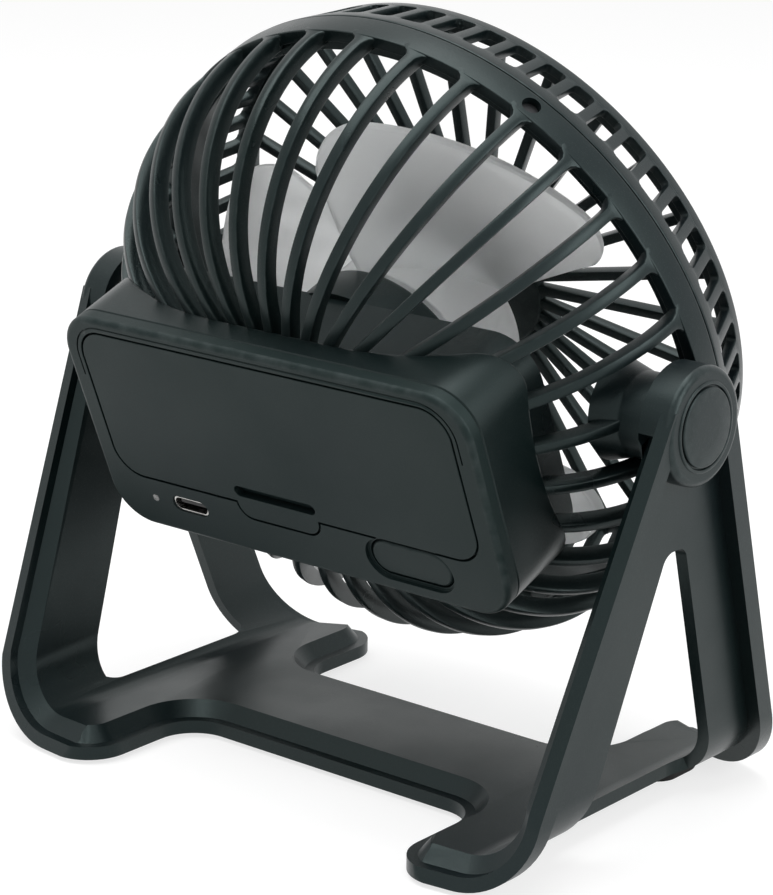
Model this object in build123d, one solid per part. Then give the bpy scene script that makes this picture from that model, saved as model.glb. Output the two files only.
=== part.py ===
from build123d import *
import os
from math import cos, pi, radians, sin, tan

# Small desk fan on a folded stand, millimetres and degrees.
# +Z is up, the fan blows toward -Y and its battery housing faces +Y.
# The origin lies on the table, below the middle of the whole fan's width and depth.
# Pieces of the fan head are drawn level about the tilt axis: x across, y rearward, z up.

# Places of the head
tilt = 21.5
pivot_height = 81.8
pivot_back = 3.17
seam_ahead = 16.85

# Clearances
running_gap = 0.03
moving_gap = 0.3
seat_gap = 0.15
groove = 0.45

# Rear cage
ring_radius = 64.9
ring_wall = 2.5
ring_width = 5.7
dome_radius = 38.7
rib_count = 34
rib_width = 2.2
rib_depth = 3.4
rib_lean = 3.5
rib_first_angle = 1.9
rib_step = 0.15
rib_foot = 1.2
rib_root = 12.0
window_corner = 2.0
window_cut = 10.0
ring_screw_ribs = (5, 16, 28)
ring_screw_radius = 1.2
ring_screw_head = 1.8
ring_screw_head_depth = 1.2

# Trunnions
trunnion_radius = 8.0
trunnion_inner = 54.0
pin_radius = 5.0
pivot_screw_radius = 1.4
pivot_screw_length = 9.0
pivot_screw_head = 3.2
pivot_screw_head_depth = 1.8
pivot_washer_radius = 7.0
pivot_washer_thickness = 0.8
friction_washer_radius = 8.0
friction_washer_thickness = 0.6

# Battery housing
housing_width = 99.2
housing_height = 48.6
housing_drop = 1.25
housing_corner = 9.0
housing_wall = 2.2
shelf_step = 3.5
shelf_lip = 0.6
shelf_round = 0.9
housing_rear = 35.2
floor_front = 9.5
floor_thickness = 2.0
cover_depth = 3.1
cover_plate = 2.0
cover_edge = 1.2

# Battery door
door_side_margin = 4.7
door_top_margin = 3.3
door_bottom_margin = 12.3
door_corner = 6.0
door_thickness = 1.7
door_tab_width = 20.2
door_tab_drop = 3.5
door_tab_corner = 3.2
door_tab_offset = 4.2
latch_slot_height = 2.4
latch_slot_raise = 1.3
hatch_width = 73.0
hatch_height = 24.0
hatch_corner = 3.0

# Motor and fan
drum_radius = 20.0
drum_wall = 2.0
drum_length = 9.5
motor_radius = 14.0
motor_wall = 0.8
bearing_radius = 4.0
bearing_length = 3.2
shaft_radius = 1.5
magnet_wall = 1.8
armature_gap = 0.7
motor_screw_circle = 9.0
motor_screw_radius = 1.0
motor_screw_head = 1.9
motor_screw_head_depth = 1.1
hub_radius = 19.0
hub_wall = 2.0
hub_length = 16.0
hub_gap = 1.5
hub_boss_radius = 4.5
blade_count = 3
blade_radius = 51.5
blade_span = 70.0
blade_corner = 10.0
blade_thickness = 1.5
blade_root_pitch = 36.0
blade_mid_pitch = 20.0
blade_tip_pitch = 14.0
blade_first_angle = 59.7

# Front grille
grille_depth = 14.8
grille_front_radius = 59.9
grille_wall = 2.2
grille_rim = 3.2
grille_rim_depth = 2.5
spigot_wall = 2.2
spigot_length = 4.6
slot_count = 56
slot_width = 4.7
slot_from_seam = 3.2
slot_length = 8.8
slot_cut = 13.2
slot_corner = 1.1
spoke_width = 2.2
spoke_depth = 3.5
spoke_bury = 2.2
mid_ring_radius = 31.5
mid_ring_width = 2.5
centre_radius = 15.0
centre_thickness = 2.5
badge_radius = 12.5
badge_thickness = 1.0

# Battery and electronics
cell_radius = 9.1
cell_length = 65.0
cell_button_radius = 3.0
cell_button_length = 2.0
cell_raise = 4.5
tray_wall = 1.0
tray_rise = 5.5
tray_end_height = 9.1
tray_end_rise = 4.5
contact_thickness = 0.4
contact_room = 2.6
contact_width = 6.0
board_side_gap = 3.0
board_height = 9.6
board_thickness = 1.6
board_corner = 3.0
controls_rise = 7.4
board_front = 23.0
board_post_inset = 22.0
board_post_radius = 2.6
board_screw_radius = 0.8
board_screw_head = 1.6
board_screw_length = 5.0
board_screw_head_depth = 0.8
cover_post_gap = 1.6
cover_screw_radius = 1.1
cover_screw_head = 2.2
cover_screw_head_depth = 1.2
cover_screw_length = 8.0
cover_post_radius = 2.9
socket_inset = 21.3
socket_width = 9.0
socket_height = 3.3
socket_wall = 0.35
socket_recess = 0.4
socket_back = 0.7
tongue_width = 6.6
tongue_thickness = 0.7
tongue_recess = 1.2
button_inset = 23.0
button_width = 18.9
button_height = 7.4
button_recess = 0.7
button_edge = 0.7
button_lip = 1.0
button_lip_depth = 1.0
button_travel = 0.6
button_stem_radius = 1.8
pocket_margin = 0.9
pocket_depth = 0.9
switch_size = 6.0
switch_body = 3.4
plunger_radius = 1.6
plunger_length = 0.85
light_inset = 12.1
light_radius = 0.75
light_base_radius = 1.5
light_base_depth = 1.0
led_length = 1.6
led_width = 0.9
led_height = 0.7

# Stand
arm_outer = 72.7
arm_lean = 4.2
bend_radius = 16.0
stand_lift = 1.0
stand_depth = 5.7
panel_thickness = 2.5
flange_thickness = 2.7
flange_width = 2.0
step_wall = 2.0
collar_radius = 11.2
collar_inner = 66.2
collar_outer = 73.0
collar_round = 1.4
collar_web = 2.8
cap_radius = 8.5
cap_proud = 0.6
cap_thickness = 1.2
cap_edge = 0.8
leg_rear_half = 11.6
leg_rear_angle = 23.1
leg_front_half = 10.5
leg_front_angle = 20.5
fold_angle = 30.0
waist = 16.5
waist_round = 8.5
foot_inner = 37.6
foot_reach = 45.2
foot_tip = 46.0
foot_round = 8.8
window_top = 57.5
window_top_half = 3.0
window_top_round = 3.1
window_slope = 0.36
window_floor = 56.0
window_floor_round = 7.0
pad_width = 9.5
pad_length = 15.0
pad_y = 30.0

# Levels worked out from the sizes above, along the head's y
seam_y = -seam_ahead
window_y = seam_y + ring_width
dome_centre = ring_radius - rib_step - dome_radius
floor_rear = floor_front + floor_thickness
cover_seam_y = housing_rear - cover_depth
door_floor_y = housing_rear - door_thickness - seat_gap
cover_inner_y = door_floor_y - cover_plate
drum_front_y = floor_front - drum_length
motor_front_y = drum_front_y + drum_wall
motor_rear_y = floor_rear - moving_gap
hub_rear_y = drum_front_y - hub_gap
hub_front_y = hub_rear_y - hub_length
grille_top_y = seam_y - seat_gap
grille_front_y = grille_top_y - grille_depth
cell_y = floor_rear + tray_wall + cell_radius + seat_gap
board_rear_y = board_front + board_thickness
housing_top = housing_height / 2 - housing_drop
housing_bottom = -housing_height / 2 - housing_drop
housing_side = housing_width / 2
door_width = housing_width - 2 * door_side_margin
door_height = housing_height - door_top_margin - door_bottom_margin
door_raise = housing_top - door_top_margin - door_height / 2
controls_z = housing_bottom + controls_rise
socket_place = housing_side - socket_inset
light_place = housing_side - light_inset
button_place = button_inset - housing_side
board_width = housing_width - 2 * (shelf_step + housing_wall + board_side_gap)
board_post_place = board_width / 2 - board_post_inset
tray_half = cell_length / 2 + contact_room + contact_thickness
cover_post_place = tray_half + tray_wall + cover_post_gap + cover_post_radius
trunnion_end = collar_inner - friction_washer_thickness - moving_gap
pin_end = collar_inner + collar_web + moving_gap
pad_x = foot_inner + flange_width + step_wall + moving_gap + pad_width / 2


def place_head(shape):
    return Pos(0, pivot_back, pivot_height) * Rot(-tilt, 0, 0) * shape


def place_stand(shape):
    return Pos(0, pivot_back, 0) * shape


def prism_y(sketch, front, rear):
    plane = Plane((0, rear, 0), x_dir=(1, 0, 0), z_dir=(0, -1, 0))
    return extrude(plane * sketch, amount=rear - front)


def prism_x(sketch, low, high):
    plane = Plane((low, 0, 0), x_dir=(0, 1, 0), z_dir=(1, 0, 0))
    return extrude(plane * sketch, amount=high - low)


def rod_y(radius, front, rear, x=0.0, z=0.0):
    return prism_y(Pos(x, z) * Circle(radius), front, rear)


def rod_x(radius, low, high, y=0.0, z=0.0):
    return prism_x(Pos(y, z) * Circle(radius), low, high)


def turned(*points):
    return revolve(make_face(Polyline(*points, close=True)), Axis.Y)


def around(angle):
    return Rot(0, angle + 180, 0)


def both_sides(shape):
    return [shape, mirror(shape, Plane.YZ)]


def housing_outline(inset=0.0):
    outline = RectangleRounded(
        housing_width - 2 * inset, housing_height - 2 * inset, housing_corner - inset
    )
    return Pos(0, -housing_drop) * outline


def inner_box_outline(inset=0.0):
    outline = RectangleRounded(
        housing_width - 2 * (shelf_step + inset),
        housing_height - shelf_step - 2 * inset,
        housing_corner - inset,
    )
    return Pos(0, -housing_drop - shelf_step / 2) * outline


def dome_inside():
    level = window_y - shelf_lip
    half = make_face(
        [
            Polyline((0, level + dome_radius), (0, level), (dome_centre + dome_radius, level)),
            CenterArc((dome_centre, level), dome_radius, 0, 90),
            Line((dome_centre, level + dome_radius), (0, level + dome_radius)),
        ]
    )
    return revolve(half, Axis.Y)


def housing_shelf():
    shelf = prism_y(housing_outline(), floor_front, cover_seam_y) - dome_inside()
    rear = shelf.faces().sort_by(Axis.Y)[-1]
    lip = [e for e in shelf.edges() if e.bounding_box().max.Y < rear.center().Y - seat_gap]
    return fillet(lip, shelf_round)


def rib():
    outer = dome_centre + dome_radius
    inner = outer - rib_depth
    top = window_y + dome_radius
    centre = (dome_centre, window_y)
    sides = [
        CenterArc(centre, dome_radius, 0, 90),
        Polyline(
            (dome_centre, top),
            (rib_root, top),
            (rib_root, top - rib_depth),
            (dome_centre, top - rib_depth),
        ),
        CenterArc(centre, dome_radius - rib_depth, 0, 90),
        Polyline(
            (inner, window_y),
            (ring_radius - ring_wall / 2, window_y - rib_foot),
            (outer, window_y - rib_foot),
            (outer, window_y),
        ),
    ]
    blade = extrude(make_face(sides), amount=rib_width / 2, both=True)
    return Pos(ring_radius, 0, 0) * Rot(0, -rib_lean, 0) * Pos(-ring_radius, 0, 0) * blade


def rib_angle(index):
    return rib_first_angle + index * 360 / rib_count


def ring_screw_places():
    return [around(rib_angle(index)) for index in ring_screw_ribs]


def trunnion():
    boss = rod_x(trunnion_radius, trunnion_inner, trunnion_end)
    return boss + rod_x(pin_radius, trunnion_end, pin_end)


def board_screw_points():
    return [(side * board_post_place, controls_z) for side in (-1, 1)]


def cover_screw_points():
    return [(side * cover_post_place, door_raise) for side in (-1, 1)]


def motor_screw_points():
    return [(side * motor_screw_circle, 0) for side in (-1, 1)]


def window_ends():
    reach = dome_radius
    outline = RectangleRounded(2 * reach, ring_window_width(), window_corner)
    plane = Plane((ring_radius - window_cut / 2, window_y + reach, 0), x_dir=(0, 1, 0), z_dir=(1, 0, 0))
    cutter = extrude(plane * outline, amount=window_cut)
    return [around(rib_angle(index + 0.5)) * cutter for index in range(rib_count)]


def ring_window_width():
    return 2 * pi * ring_radius / rib_count - rib_width


def rear_cage():
    ring_inner = ring_radius - ring_wall
    ring_rear = window_y + window_corner
    ring = turned(
        (ring_inner, seam_y), (ring_radius, seam_y), (ring_radius, ring_rear), (ring_inner, ring_rear)
    )
    ring -= window_ends()
    ribs = [around(rib_angle(index)) * rib() for index in range(rib_count)]
    cage = ring + ribs
    cage -= prism_y(inner_box_outline(housing_wall / 2), floor_front, housing_rear + dome_radius)
    walls = prism_y(inner_box_outline(), floor_front, cover_seam_y) + housing_shelf()
    walls -= prism_y(inner_box_outline(housing_wall), floor_rear, cover_seam_y)
    drum = rod_y(drum_radius, drum_front_y, floor_rear)
    drum_hollow = rod_y(drum_radius - drum_wall, motor_front_y, floor_rear)
    cage = cage + walls + drum - drum_hollow
    cage -= rod_y(bearing_radius + seat_gap, drum_front_y, motor_front_y)
    for x, z in motor_screw_points():
        cage -= rod_y(motor_screw_radius, drum_front_y, motor_front_y, x, z)
    posts = [rod_y(board_post_radius, floor_rear, board_front, x, z) for x, z in board_screw_points()]
    posts += [rod_y(cover_post_radius, floor_rear, cover_inner_y, x, z) for x, z in cover_screw_points()]
    cage = cage + posts + both_sides(trunnion())
    for x, z in board_screw_points():
        cage -= rod_y(board_screw_radius, board_front - board_screw_length, board_front, x, z)
    for x, z in cover_screw_points():
        cage -= rod_y(cover_screw_radius, cover_inner_y - cover_screw_length, cover_inner_y, x, z)
    hole = rod_x(ring_screw_head, ring_inner - ring_wall, ring_radius + ring_wall, seam_y + ring_width / 2)
    for turn in ring_screw_places():
        cage -= turn * hole
    for pilot in both_sides(rod_x(pivot_screw_radius, pin_end - pivot_screw_length, pin_end)):
        cage -= pilot
    return cage


def grille_outer(y):
    share = (grille_top_y - y) / grille_depth
    return ring_radius + (grille_front_radius - ring_radius) * share


def front_grille():
    spigot = ring_radius - ring_wall - seat_gap
    spigot_inner = spigot - spigot_wall
    spigot_end = grille_top_y + spigot_length
    shoulder = grille_top_y - grille_wall
    rim_y = grille_front_y + grille_rim_depth
    shell = turned(
        (spigot, spigot_end),
        (spigot, grille_top_y),
        (ring_radius, grille_top_y),
        (grille_front_radius, grille_front_y),
        (grille_front_radius - grille_rim, grille_front_y),
        (grille_front_radius - grille_rim, rim_y),
        (grille_outer(rim_y) - grille_wall, rim_y),
        (grille_outer(shoulder) - grille_wall, shoulder),
        (spigot_inner, shoulder),
        (spigot_inner, spigot_end),
    )
    pitch = 360 / slot_count
    slot_y = grille_top_y - slot_from_seam - slot_length / 2
    mouth = RectangleRounded(slot_length, slot_width, slot_corner)
    slot = prism_x(Pos(slot_y, 0) * mouth, ring_radius - slot_cut / 2, ring_radius + slot_cut / 2)
    shell -= [around(index * pitch) * slot for index in range(slot_count)]
    mid_inner = mid_ring_radius - mid_ring_width
    spoke_rear = grille_front_y + spoke_depth
    mid_ring = rod_y(mid_ring_radius, grille_front_y, spoke_rear)
    mid_ring -= rod_y(mid_inner, grille_front_y, spoke_rear)
    centre = rod_y(centre_radius, grille_front_y, grille_front_y + centre_thickness)
    spokes = []
    for index in range(slot_count):
        start = centre_radius if index % 2 else mid_ring_radius
        reach = grille_front_radius - grille_rim - start
        length = reach + 2 * spoke_bury
        middle = (start + grille_front_radius - grille_rim) / 2
        bar = Pos(middle, grille_front_y + spoke_depth / 2, 0) * Box(length, spoke_depth, spoke_width)
        spokes.append(around((index + 0.5) * pitch) * bar)
    grille = shell + [mid_ring, centre] + spokes
    pilot = rod_x(ring_screw_radius, spigot_inner - ring_wall, spigot + ring_wall, seam_y + ring_width / 2)
    for turn in ring_screw_places():
        grille -= turn * pilot
    return grille


def grille_badge():
    return rod_y(badge_radius, grille_front_y - badge_thickness, grille_front_y)


def ring_screws():
    seat = ring_radius - ring_wall - seat_gap
    y = seam_y + ring_width / 2
    head = rod_x(ring_screw_head - seat_gap, seat, seat + ring_screw_head_depth, y)
    shank = rod_x(ring_screw_radius, seat - spigot_wall, seat, y)
    return Compound([turn * (head + shank) for turn in ring_screw_places()])


def blade_section(radius, half_chord, pitch):
    middle = (hub_front_y + hub_rear_y) / 2
    chord = (0, sin(radians(pitch)), -cos(radians(pitch)))
    plane = Plane((radius, middle, 0), x_dir=chord, z_dir=(1, 0, 0))
    return plane * Rectangle(2 * half_chord, blade_thickness)


def blade():
    root = hub_radius - hub_wall / 2
    half = radians(blade_span / 2)
    mid = (root + blade_radius) / 2
    sheet = loft(
        [
            blade_section(root, root * tan(half), blade_root_pitch),
            blade_section(mid, mid * tan(half), blade_mid_pitch),
            blade_section(blade_radius, blade_radius * tan(half), blade_tip_pitch),
        ]
    )
    tip = (blade_radius * cos(half), blade_radius * sin(half))
    petal = make_face(
        [
            Line((0, 0), (tip[0], -tip[1])),
            ThreePointArc((tip[0], -tip[1]), (blade_radius, 0), tip),
            Line(tip, (0, 0)),
        ]
    )
    petal = fillet(petal.vertices().sort_by(Axis.X)[-2:], blade_corner)
    return sheet & prism_y(petal, hub_front_y - hub_length, hub_rear_y + hub_length)


def impeller():
    inner = hub_radius - hub_wall
    boss_rear = (hub_front_y + hub_rear_y) / 2
    cup = turned(
        (0, hub_front_y),
        (hub_radius, hub_front_y),
        (hub_radius, hub_rear_y),
        (inner, hub_rear_y),
        (inner, hub_front_y + hub_wall),
        (hub_boss_radius, hub_front_y + hub_wall),
        (hub_boss_radius, boss_rear),
        (0, boss_rear),
    )
    turns = [around(blade_first_angle + index * 360 / blade_count) for index in range(blade_count)]
    wheel = cup + [turn * blade() for turn in turns]
    return wheel - rod_y(shaft_radius, hub_front_y + hub_wall, boss_rear)


def motor_shaft():
    return rod_y(shaft_radius, hub_front_y + hub_wall, motor_rear_y - motor_wall)


def bearing(front):
    return rod_y(bearing_radius, front, front + bearing_length) - rod_y(
        shaft_radius + running_gap, front, front + bearing_length
    )


def bearing_front():
    return bearing(drum_front_y)


def bearing_rear():
    return bearing(motor_rear_y - bearing_length + moving_gap / 2)


def motor_can():
    can = rod_y(motor_radius, motor_front_y, motor_rear_y - motor_wall)
    can -= rod_y(motor_radius - motor_wall, motor_front_y + motor_wall, motor_rear_y)
    can -= rod_y(bearing_radius, motor_front_y, motor_rear_y)
    for x, z in motor_screw_points():
        can -= rod_y(motor_screw_radius, motor_front_y, motor_rear_y, x, z)
    return can


def motor_end_cap():
    cap = rod_y(motor_radius, motor_rear_y - motor_wall, motor_rear_y)
    return cap - rod_y(bearing_radius, motor_rear_y - motor_wall, motor_rear_y)


def motor_magnet():
    outer = motor_radius - motor_wall
    front = motor_front_y + motor_wall + motor_screw_head_depth
    rear = motor_rear_y - motor_wall
    return rod_y(outer, front, rear) - rod_y(outer - magnet_wall, front, rear)


def motor_armature():
    radius = motor_radius - motor_wall - magnet_wall - armature_gap
    front = drum_front_y + bearing_length + moving_gap
    rear = motor_rear_y - bearing_length - moving_gap
    return rod_y(radius, front, rear) - rod_y(shaft_radius, front, rear)


def motor_screws():
    screws = []
    for x, z in motor_screw_points():
        head = rod_y(motor_screw_head, drum_front_y - motor_screw_head_depth, drum_front_y, x, z)
        shank = rod_y(motor_screw_radius, drum_front_y, motor_front_y + motor_wall, x, z)
        screws.append(head + shank)
    return Compound(screws)


def door_outline(margin=0.0):
    low = door_raise - door_height / 2
    panel = Pos(0, door_raise) * RectangleRounded(
        door_width + 2 * margin, door_height + 2 * margin, door_corner + margin
    )
    tab = RectangleRounded(
        door_tab_width + 2 * margin, 2 * (door_tab_drop + margin), door_tab_corner + margin
    )
    return panel + Pos(door_tab_offset, low) * tab


def latch_slot():
    z = door_raise - door_height / 2 + latch_slot_raise + latch_slot_height / 2
    return Pos(door_tab_offset, z) * SlotOverall(door_tab_width, latch_slot_height)


def battery_door():
    panel = prism_y(door_outline(), housing_rear - door_thickness, housing_rear)
    return panel - prism_y(latch_slot(), housing_rear - door_thickness, housing_rear)


def button_outline(margin=0.0):
    return Pos(button_place, controls_z) * SlotOverall(
        button_width + 2 * margin, button_height + 2 * margin
    )


def socket_outline(margin=0.0):
    return Pos(socket_place, controls_z) * SlotOverall(
        socket_width + 2 * margin, socket_height + 2 * margin
    )


def rear_cover():
    cover = prism_y(housing_outline(), cover_seam_y, housing_rear)
    rear_edges = cover.faces().sort_by(Axis.Y)[-1].edges()
    cover = fillet(rear_edges, cover_edge)
    spigot = prism_y(inner_box_outline(housing_wall + seat_gap), cover_inner_y, housing_rear - cover_edge)
    cover = cover + spigot
    cover -= prism_y(door_outline(groove), door_floor_y, housing_rear)
    hatch = Pos(0, cell_raise) * RectangleRounded(hatch_width, hatch_height, hatch_corner)
    cover -= prism_y(hatch, cover_inner_y, housing_rear)
    cover -= prism_y(button_outline(moving_gap), cover_inner_y, housing_rear)
    cover -= prism_y(button_outline(pocket_margin), housing_rear - pocket_depth, housing_rear)
    cover -= prism_y(socket_outline(seat_gap), cover_inner_y, housing_rear)
    cover -= rod_y(light_radius + running_gap, cover_inner_y, housing_rear, light_place, controls_z)
    for x, z in cover_screw_points():
        cover -= rod_y(cover_screw_radius + seat_gap, cover_inner_y, housing_rear, x, z)
        cover -= rod_y(cover_screw_head + seat_gap, door_floor_y - cover_screw_head_depth, housing_rear, x, z)
    return cover


def cover_screws():
    screws = []
    seat = door_floor_y - cover_screw_head_depth
    for x, z in cover_screw_points():
        head = rod_y(cover_screw_head, seat, door_floor_y, x, z)
        shank = rod_y(cover_screw_radius, cover_inner_y - cover_screw_length, seat, x, z)
        screws.append(head + shank)
    return Compound(screws)


def battery_cell():
    shoulder = cell_length / 2 - cell_button_length
    body = rod_x(cell_radius, -cell_length / 2, shoulder, cell_y, cell_raise)
    button = rod_x(cell_button_radius, shoulder, cell_length / 2, cell_y, cell_raise)
    return body + button


def battery_tray():
    half = tray_half + tray_wall
    rear = floor_rear + tray_wall + tray_rise
    height = 2 * (cell_radius + tray_wall)
    block = prism_y(Pos(0, cell_raise) * Rectangle(2 * half, height), floor_rear, rear)
    trough = rod_x(cell_radius + seat_gap, -tray_half, tray_half, cell_y, cell_raise)
    end_room = prism_y(
        Pos(0, cell_raise) * Rectangle(2 * tray_half, tray_end_height), floor_rear + tray_wall, rear
    )
    walls = [
        prism_y(
            Pos(side * (tray_half + tray_wall / 2), cell_raise) * Rectangle(tray_wall, tray_end_height),
            rear,
            cell_y + tray_end_rise,
        )
        for side in (-1, 1)
    ]
    return block - trough - end_room + walls


def leaf_contact(side):
    base = tray_half
    bow = contact_room
    low = floor_rear + tray_wall
    high = cell_y + tray_end_rise
    middle = cell_y
    strip = make_face(
        Polyline(
            (base, low),
            (base, high),
            (base - bow, middle),
            (base - bow + contact_thickness, middle - contact_thickness),
            (base - contact_thickness, high - bow),
            (base - contact_thickness, low),
            close=True,
        )
    )
    leaf = extrude(strip, amount=contact_width / 2, both=True)
    leaf = Pos(0, 0, cell_raise) * leaf
    return leaf if side > 0 else mirror(leaf, Plane.YZ)


def circuit_board():
    board = prism_y(
        Pos(0, controls_z) * RectangleRounded(board_width, board_height, board_corner),
        board_front,
        board_rear_y,
    )
    for x, z in board_screw_points():
        board -= rod_y(board_screw_radius + seat_gap, board_front, board_rear_y, x, z)
    return board


def board_screws():
    screws = []
    for x, z in board_screw_points():
        head = rod_y(board_screw_head, board_rear_y, board_rear_y + board_screw_head_depth, x, z)
        shank = rod_y(board_screw_radius, board_front - board_screw_length, board_rear_y, x, z)
        screws.append(head + shank)
    return Compound(screws)


def charge_socket():
    mouth = housing_rear - socket_recess
    shell = prism_y(socket_outline(), board_rear_y, mouth)
    return shell - prism_y(socket_outline(-socket_wall), board_rear_y + socket_back, mouth)


def socket_tongue():
    outline = Pos(socket_place, controls_z) * Rectangle(tongue_width, tongue_thickness)
    return prism_y(outline, board_rear_y + socket_back, housing_rear - tongue_recess)


def switch_top():
    return board_rear_y + switch_body


def button_lip_y():
    return cover_inner_y - moving_gap


def stem_end():
    return switch_top() + plunger_length + moving_gap + button_travel


def push_switch():
    outline = Pos(button_place, controls_z) * Rectangle(switch_size, switch_size)
    body = prism_y(outline, board_rear_y, switch_top())
    plunger = rod_y(plunger_radius, switch_top(), switch_top() + plunger_length, button_place, controls_z)
    return body + plunger


def power_button():
    lip_rear = button_lip_y()
    cap = prism_y(button_outline(), lip_rear, housing_rear - button_recess)
    face = cap.faces().sort_by(Axis.Y)[-1].edges()
    cap = fillet(face, button_edge)
    lip = prism_y(button_outline(button_lip), lip_rear - button_lip_depth, lip_rear)
    stem = rod_y(button_stem_radius, stem_end(), lip_rear, button_place, controls_z)
    return cap + lip + stem


def status_led():
    outline = Pos(light_place, controls_z) * Rectangle(led_length, led_width)
    return prism_y(outline, board_rear_y, board_rear_y + led_height)


def light_pipe():
    start = board_rear_y + led_height
    base = rod_y(light_base_radius, start, start + light_base_depth, light_place, controls_z)
    return base + rod_y(light_radius, start, housing_rear - running_gap, light_place, controls_z)


def pivot_screws():
    seat = pin_end + pivot_washer_thickness
    head = rod_x(pivot_screw_head, seat, seat + pivot_screw_head_depth)
    shank = rod_x(pivot_screw_radius, pin_end - pivot_screw_length, seat)
    return Compound(both_sides(head + shank))


def pivot_washers():
    ring = rod_x(pivot_washer_radius, pin_end, pin_end + pivot_washer_thickness)
    return Compound(both_sides(ring - rod_x(pivot_screw_radius, pin_end, pin_end + pivot_washer_thickness)))


def bend_centre():
    lean = radians(arm_lean)
    reach = arm_outer * cos(lean) - pivot_height * sin(lean)
    z = stand_lift + bend_radius
    x = (reach - bend_radius + z * sin(lean)) / cos(lean)
    return (x, z)


def bend_point(depth, angle):
    centre_x, centre_z = bend_centre()
    radius = bend_radius - depth
    return (centre_x + radius * sin(radians(angle)), centre_z - radius * cos(radians(angle)))


def arm_point(depth, along):
    x, z = bend_point(depth, 90 - arm_lean)
    return (x + along * sin(radians(arm_lean)), z + along * cos(radians(arm_lean)))


def folded_sheet(outer, inner):
    turn = 90 - arm_lean
    arm = pivot_height + 2 * collar_radius
    floor_out = bend_point(outer, 0)
    floor_in = bend_point(inner, 0)
    half = make_face(
        [
            Line((0, floor_out[1]), floor_out),
            ThreePointArc(floor_out, bend_point(outer, turn / 2), arm_point(outer, 0)),
            Polyline(arm_point(outer, 0), arm_point(outer, arm), arm_point(inner, arm), arm_point(inner, 0)),
            ThreePointArc(arm_point(inner, 0), bend_point(inner, turn / 2), floor_in),
            Polyline(floor_in, (0, floor_in[1]), (0, floor_out[1])),
        ]
    )
    sheet = half + mirror(half, Plane.YZ)
    return prism_y(sheet, -2 * foot_reach, 2 * foot_reach)


def fold_line(x, z):
    return x * sin(radians(fold_angle)) + z * cos(radians(fold_angle))


def leg_side(half, angle):
    knee_x, knee_z = arm_point(0, 0)
    low = fold_line(knee_x, knee_z)
    low_y = half + (pivot_height - knee_z) * tan(radians(angle))
    high = fold_line(arm_outer, pivot_height)
    top = high + collar_radius
    top_y = half - (low_y - half) * collar_radius / (high - low)
    foot = fold_line(foot_tip, stand_lift)
    return [(top_y, top), (low_y, low), (foot_reach, foot), (foot_reach, -top)]


def leg_prism(inset):
    rear = leg_side(leg_rear_half, leg_rear_angle)
    front = [(-y, along) for y, along in leg_side(leg_front_half, leg_front_angle)]
    outline = make_face(Polyline(*rear, *reversed(front), close=True))
    if inset:
        outline = offset(outline, -inset, kind=Kind.INTERSECTION)
    sight = (cos(radians(fold_angle)), 0, -sin(radians(fold_angle)))
    plane = Plane((0, 0, 0), x_dir=(0, 1, 0), z_dir=sight)
    return extrude(plane * outline, amount=2 * pivot_height, both=True)


def plan_outline(inset):
    far = arm_outer + collar_radius
    inner = foot_inner + inset
    half = waist - inset
    reach = foot_reach - inset
    right = [(inner, half), (inner, reach), (far, reach)]
    right += [(x, -y) for x, y in reversed(right)]
    left = [(-x, -y) for x, y in right]
    outline = make_face(Polyline(*right, *left, close=True))
    notches = [v for v in outline.vertices() if abs(abs(v.Y) - half) < seat_gap]
    outline = fillet(notches, waist_round + inset)
    inside = [v for v in outline.vertices() if abs(abs(v.X) - inner) < seat_gap]
    tips = [v for v in inside if abs(abs(v.Y) - reach) < seat_gap]
    return fillet(tips, foot_round - inset)


def stand_blank(inset):
    top = pivot_height + collar_radius * sin(radians(leg_rear_angle)) - inset
    plan = plan_outline(inset)
    far = arm_outer + collar_radius
    column = extrude(plan, amount=top) + extrude(plan, amount=-bend_radius)
    right = column & leg_prism(inset) & Pos(far / 2, 0, 0) * Box(far, 4 * foot_reach, 4 * top)
    return right + mirror(right, Plane.YZ)


def window_cutter():
    far = arm_outer + collar_radius
    floor_half = window_top_half + window_slope * window_top
    triangle = make_face(
        Polyline(
            (-window_top_half, window_top),
            (window_top_half, window_top),
            (floor_half, 0),
            (-floor_half, 0),
            close=True,
        )
    )
    triangle = fillet(triangle.vertices().sort_by(Axis.Y)[-2:], window_top_round)
    tunnel = prism_x(triangle, window_floor, far)
    opening = Pos(far, 0) * RectangleRounded(
        2 * (far - window_floor), 2 * floor_half, window_floor_round
    )
    return tunnel & extrude(opening, amount=pivot_height)


def collar():
    drum = rod_x(collar_radius, collar_inner, collar_outer)
    rim = drum.faces().sort_by(Axis.X)[-1].edges()
    return fillet(rim, collar_round)


def stand():
    full = stand_blank(0)
    inner = stand_blank(flange_width)
    hollow = stand_blank(flange_width + step_wall)
    body = folded_sheet(0, stand_depth) & full
    body -= folded_sheet(flange_thickness, stand_depth + step_wall) - inner
    body -= folded_sheet(-step_wall, stand_depth - panel_thickness) & hollow
    for shape in both_sides(window_cutter()):
        body -= shape
    beyond = rod_x(collar_radius, collar_outer, collar_outer + stand_depth)
    for shape in both_sides(beyond):
        body -= Pos(0, 0, pivot_height) * shape
    body = body + [Pos(0, 0, pivot_height) * shape for shape in both_sides(collar())]
    recess = rod_x(cap_radius, collar_inner + collar_web, collar_outer + cap_radius)
    bore = rod_x(pin_radius + running_gap, collar_inner, collar_outer)
    for shape in both_sides(recess + bore):
        body -= Pos(0, 0, pivot_height) * shape
    return body


def foot_pads():
    underside = stand_lift + stand_depth - panel_thickness
    pad = extrude(SlotOverall(pad_length, pad_width), amount=underside)
    places = [(x, y) for x in (-pad_x, pad_x) for y in (-pad_y, pad_y)]
    return Compound([Pos(x, y, 0) * Rot(0, 0, 90) * pad for x, y in places])


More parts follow.
